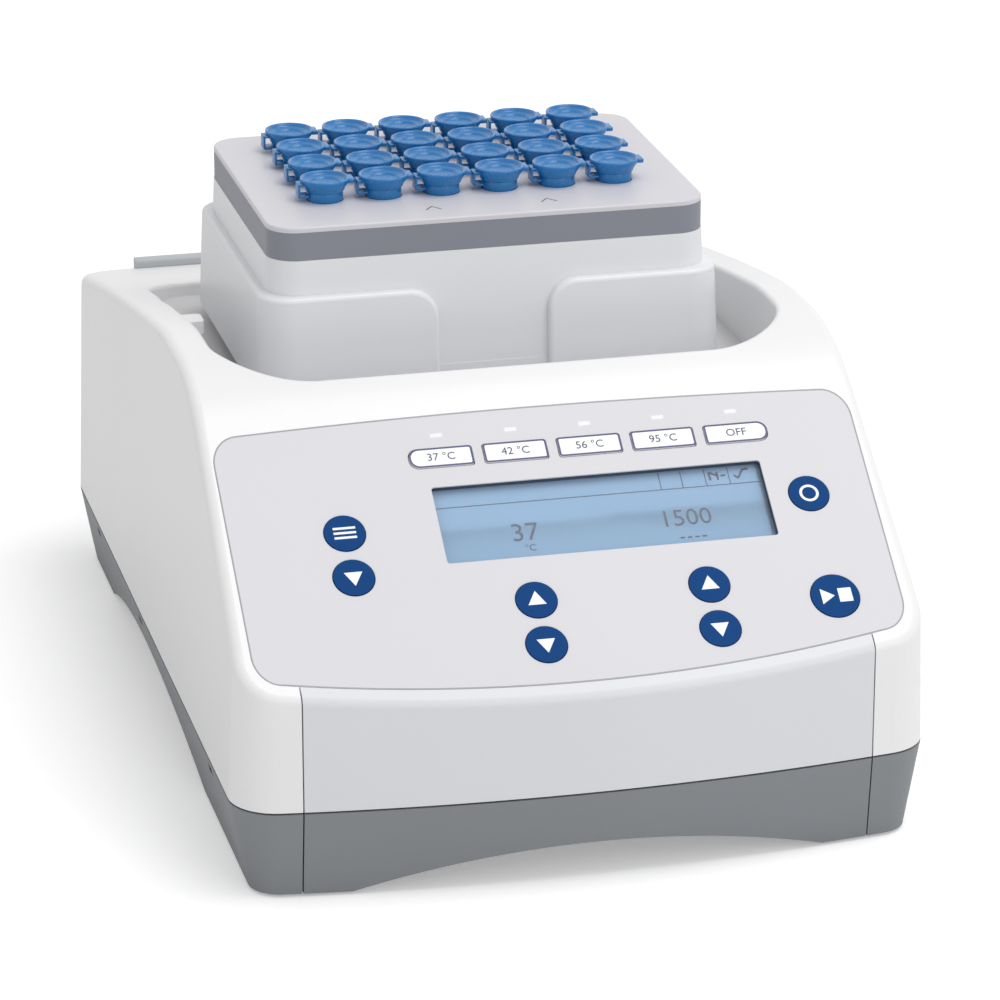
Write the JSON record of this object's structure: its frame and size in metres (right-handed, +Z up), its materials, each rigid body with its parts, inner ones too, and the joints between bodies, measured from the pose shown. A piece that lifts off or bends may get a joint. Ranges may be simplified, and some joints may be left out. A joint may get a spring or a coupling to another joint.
{
  "type": "thermal mixer",
  "caption": "Bench thermal mixer with a sloping keypad and display, and a heated block of lidded sample tubes that orbits in a recess of the deck.",
  "frame": {"origin": "middle of the footprint, on the surface the feet stand on", "axes": "+Z up, -Y towards the keypad and the front, +X to the right of someone facing the keypad"},
  "size_m": [0.206, 0.304, 0.1688],
  "materials": {
    "housing_white": "satin white moulding",
    "base_grey": "fine matt grey moulding",
    "rear_grey": "matt light grey",
    "tray_grey": "matt grey",
    "overlay_white": "smooth printed membrane",
    "gasket_dark": "matt",
    "display_clear": "clear window",
    "display_blue": "pale blue liquid crystal face",
    "board_green": "circuit board",
    "light_clear": "milky light guide",
    "foot_rubber": "matt",
    "screw_steel": "zinc plated",
    "sheet_steel": "zinc plated sheet",
    "motor_dark": "black painted casing",
    "shaft_steel": "ground",
    "weight_brass": "turned",
    "cast_alu": "machined",
    "ceramic_white": "ceramic faces",
    "block_alu": "machined",
    "cover_white": "satin white moulding",
    "band_grey": "matt grey band",
    "plate_grey": "satin light grey plate",
    "fan_black": "matt",
    "inlet_black": "matt",
    "switch_black": "gloss",
    "key_white": "printed white key with a dark blue edge",
    "key_blue": "printed dark blue key",
    "tube_blue": "translucent blue polypropylene"
  },
  "bodies": {
    "base": {"base_shell": "base_grey", "base_front_cover": "base_grey", "upper_housing": "housing_white", "front_cover": "housing_white", "rear_panel": "rear_grey", "well_floor": "tray_grey", "keypad_overlay": "overlay_white", "display_gasket": "gasket_dark", "display_window": "display_clear", "display_module": "display_blue", "keypad_board": "board_green", "led_lights": "light_clear", "rubber_feet": "foot_rubber", "screws": "screw_steel", "chassis_plate": "sheet_steel", "motor_housing": "motor_dark", "drive_frame": "cast_alu", "frame_bearings": "shaft_steel", "power_supply": "board_green", "main_board": "board_green", "fan_frame": "fan_black", "power_inlet": "inlet_black"},
    "eccentric": {"eccentric_shaft": "shaft_steel", "motor_rotor": "sheet_steel", "counterweight": "weight_brass"},
    "block": {"mixing_table": "cast_alu", "table_bearings": "shaft_steel", "heat_sink": "cast_alu", "peltier_modules": "ceramic_white", "tube_block": "block_alu", "block_cover": "cover_white", "plate_frame": "band_grey", "top_plate": "plate_grey"},
    "fan": {"fan_rotor": "fan_black"},
    "rocker": {"power_switch": "switch_black"},
    "guide_crank_1": {"guide_crank_1": "shaft_steel"},
    "guide_crank_2": {"guide_crank_2": "shaft_steel"},
    "guide_crank_3": {"guide_crank_3": "shaft_steel"},
    "key_preset_1": {"key_preset_1": "key_white"},
    "key_preset_2": {"key_preset_2": "key_white"},
    "key_preset_3": {"key_preset_3": "key_white"},
    "key_preset_4": {"key_preset_4": "key_white"},
    "key_preset_5": {"key_preset_5": "key_white"},
    "key_menu": {"key_menu": "key_blue"},
    "key_select": {"key_select": "key_blue"},
    "key_temperature_up": {"key_temperature_up": "key_blue"},
    "key_temperature_down": {"key_temperature_down": "key_blue"},
    "key_speed_up": {"key_speed_up": "key_blue"},
    "key_speed_down": {"key_speed_down": "key_blue"},
    "key_short": {"key_short": "key_blue"},
    "key_start": {"key_start": "key_blue"},
    "tube_a1": {"tube_a1": "tube_blue"},
    "tube_a2": {"tube_a2": "tube_blue"},
    "tube_a3": {"tube_a3": "tube_blue"},
    "tube_a4": {"tube_a4": "tube_blue"},
    "tube_a5": {"tube_a5": "tube_blue"},
    "tube_a6": {"tube_a6": "tube_blue"},
    "tubes_row_b": {"tubes_row_b": "tube_blue"},
    "tubes_row_c": {"tubes_row_c": "tube_blue"},
    "tubes_row_d": {"tubes_row_d": "tube_blue"}
  },
  "joints": [
    {"name": "eccentric_spin", "type": "hinge", "parent": "base", "child": "eccentric", "pos_m": [0, 0.02325, 0.08], "axis": [0, 0, 1], "continuous": true},
    {"name": "block_orbit", "type": "hinge", "parent": "eccentric", "child": "block", "pos_m": [0, 0.02475, 0.09], "axis": [0, 0, 1], "continuous": true},
    {"name": "guide_spin_1", "type": "hinge", "parent": "base", "child": "guide_crank_1", "pos_m": [-0.034, -0.01075, 0.08], "axis": [0, 0, 1], "continuous": true},
    {"name": "guide_spin_2", "type": "hinge", "parent": "base", "child": "guide_crank_2", "pos_m": [0.034, -0.01075, 0.08], "axis": [0, 0, 1], "continuous": true},
    {"name": "guide_spin_3", "type": "hinge", "parent": "base", "child": "guide_crank_3", "pos_m": [0, 0.05925, 0.08], "axis": [0, 0, 1], "continuous": true},
    {"name": "fan_spin", "type": "hinge", "parent": "base", "child": "fan", "pos_m": [-0.045, 0.14, 0.064], "axis": [0, 1, 0], "continuous": true},
    {"name": "power_rocker", "type": "hinge", "parent": "base", "child": "rocker", "pos_m": [0.0595, 0.1476, 0.06], "axis": [-1, 0, 0], "range_deg": [0, 14]},
    {"name": "key_preset_1_press", "type": "slide", "parent": "base", "child": "key_preset_1", "axis": [0, 0.5976, -0.8018], "range_m": [0, 0.0004], "stiffness_N_per_m": 2000},
    {"name": "key_preset_2_press", "type": "slide", "parent": "base", "child": "key_preset_2", "axis": [0, 0.5976, -0.8018], "range_m": [0, 0.0004], "stiffness_N_per_m": 2000},
    {"name": "key_preset_3_press", "type": "slide", "parent": "base", "child": "key_preset_3", "axis": [0, 0.5976, -0.8018], "range_m": [0, 0.0004], "stiffness_N_per_m": 2000},
    {"name": "key_preset_4_press", "type": "slide", "parent": "base", "child": "key_preset_4", "axis": [0, 0.5976, -0.8018], "range_m": [0, 0.0004], "stiffness_N_per_m": 2000},
    {"name": "key_preset_5_press", "type": "slide", "parent": "base", "child": "key_preset_5", "axis": [0, 0.5976, -0.8018], "range_m": [0, 0.0004], "stiffness_N_per_m": 2000},
    {"name": "key_menu_press", "type": "slide", "parent": "base", "child": "key_menu", "axis": [0, 0.5976, -0.8018], "range_m": [0, 0.0004], "stiffness_N_per_m": 2000},
    {"name": "key_select_press", "type": "slide", "parent": "base", "child": "key_select", "axis": [0, 0.5976, -0.8018], "range_m": [0, 0.0004], "stiffness_N_per_m": 2000},
    {"name": "key_temperature_up_press", "type": "slide", "parent": "base", "child": "key_temperature_up", "axis": [0, 0.5976, -0.8018], "range_m": [0, 0.0004], "stiffness_N_per_m": 2000},
    {"name": "key_temperature_down_press", "type": "slide", "parent": "base", "child": "key_temperature_down", "axis": [0, 0.5976, -0.8018], "range_m": [0, 0.0004], "stiffness_N_per_m": 2000},
    {"name": "key_speed_up_press", "type": "slide", "parent": "base", "child": "key_speed_up", "axis": [0, 0.5976, -0.8018], "range_m": [0, 0.0004], "stiffness_N_per_m": 2000},
    {"name": "key_speed_down_press", "type": "slide", "parent": "base", "child": "key_speed_down", "axis": [0, 0.5976, -0.8018], "range_m": [0, 0.0004], "stiffness_N_per_m": 2000},
    {"name": "key_short_press", "type": "slide", "parent": "base", "child": "key_short", "axis": [0, 0.5976, -0.8018], "range_m": [0, 0.0004], "stiffness_N_per_m": 2000},
    {"name": "key_start_press", "type": "slide", "parent": "base", "child": "key_start", "axis": [0, 0.5976, -0.8018], "range_m": [0, 0.0004], "stiffness_N_per_m": 2000},
    {"name": "tube_a1_lift", "type": "slide", "parent": "block", "child": "tube_a1", "axis": [0, 0, 1], "range_m": [0, 0.045]},
    {"name": "tube_a2_lift", "type": "slide", "parent": "block", "child": "tube_a2", "axis": [0, 0, 1], "range_m": [0, 0.045]},
    {"name": "tube_a3_lift", "type": "slide", "parent": "block", "child": "tube_a3", "axis": [0, 0, 1], "range_m": [0, 0.045]},
    {"name": "tube_a4_lift", "type": "slide", "parent": "block", "child": "tube_a4", "axis": [0, 0, 1], "range_m": [0, 0.045]},
    {"name": "tube_a5_lift", "type": "slide", "parent": "block", "child": "tube_a5", "axis": [0, 0, 1], "range_m": [0, 0.045]},
    {"name": "tube_a6_lift", "type": "slide", "parent": "block", "child": "tube_a6", "axis": [0, 0, 1], "range_m": [0, 0.045]},
    {"name": "tubes_row_b_lift", "type": "slide", "parent": "block", "child": "tubes_row_b", "axis": [0, 0, 1], "range_m": [0, 0.045]},
    {"name": "tubes_row_c_lift", "type": "slide", "parent": "block", "child": "tubes_row_c", "axis": [0, 0, 1], "range_m": [0, 0.045]},
    {"name": "tubes_row_d_lift", "type": "slide", "parent": "block", "child": "tubes_row_d", "axis": [0, 0, 1], "range_m": [0, 0.045]}
  ],
  "couplings": [
    {"joint": "block_orbit", "follows": "eccentric_spin", "ratio": -1},
    {"joint": "guide_spin_1", "follows": "eccentric_spin", "ratio": 1},
    {"joint": "guide_spin_2", "follows": "eccentric_spin", "ratio": 1},
    {"joint": "guide_spin_3", "follows": "eccentric_spin", "ratio": 1}
  ]
}
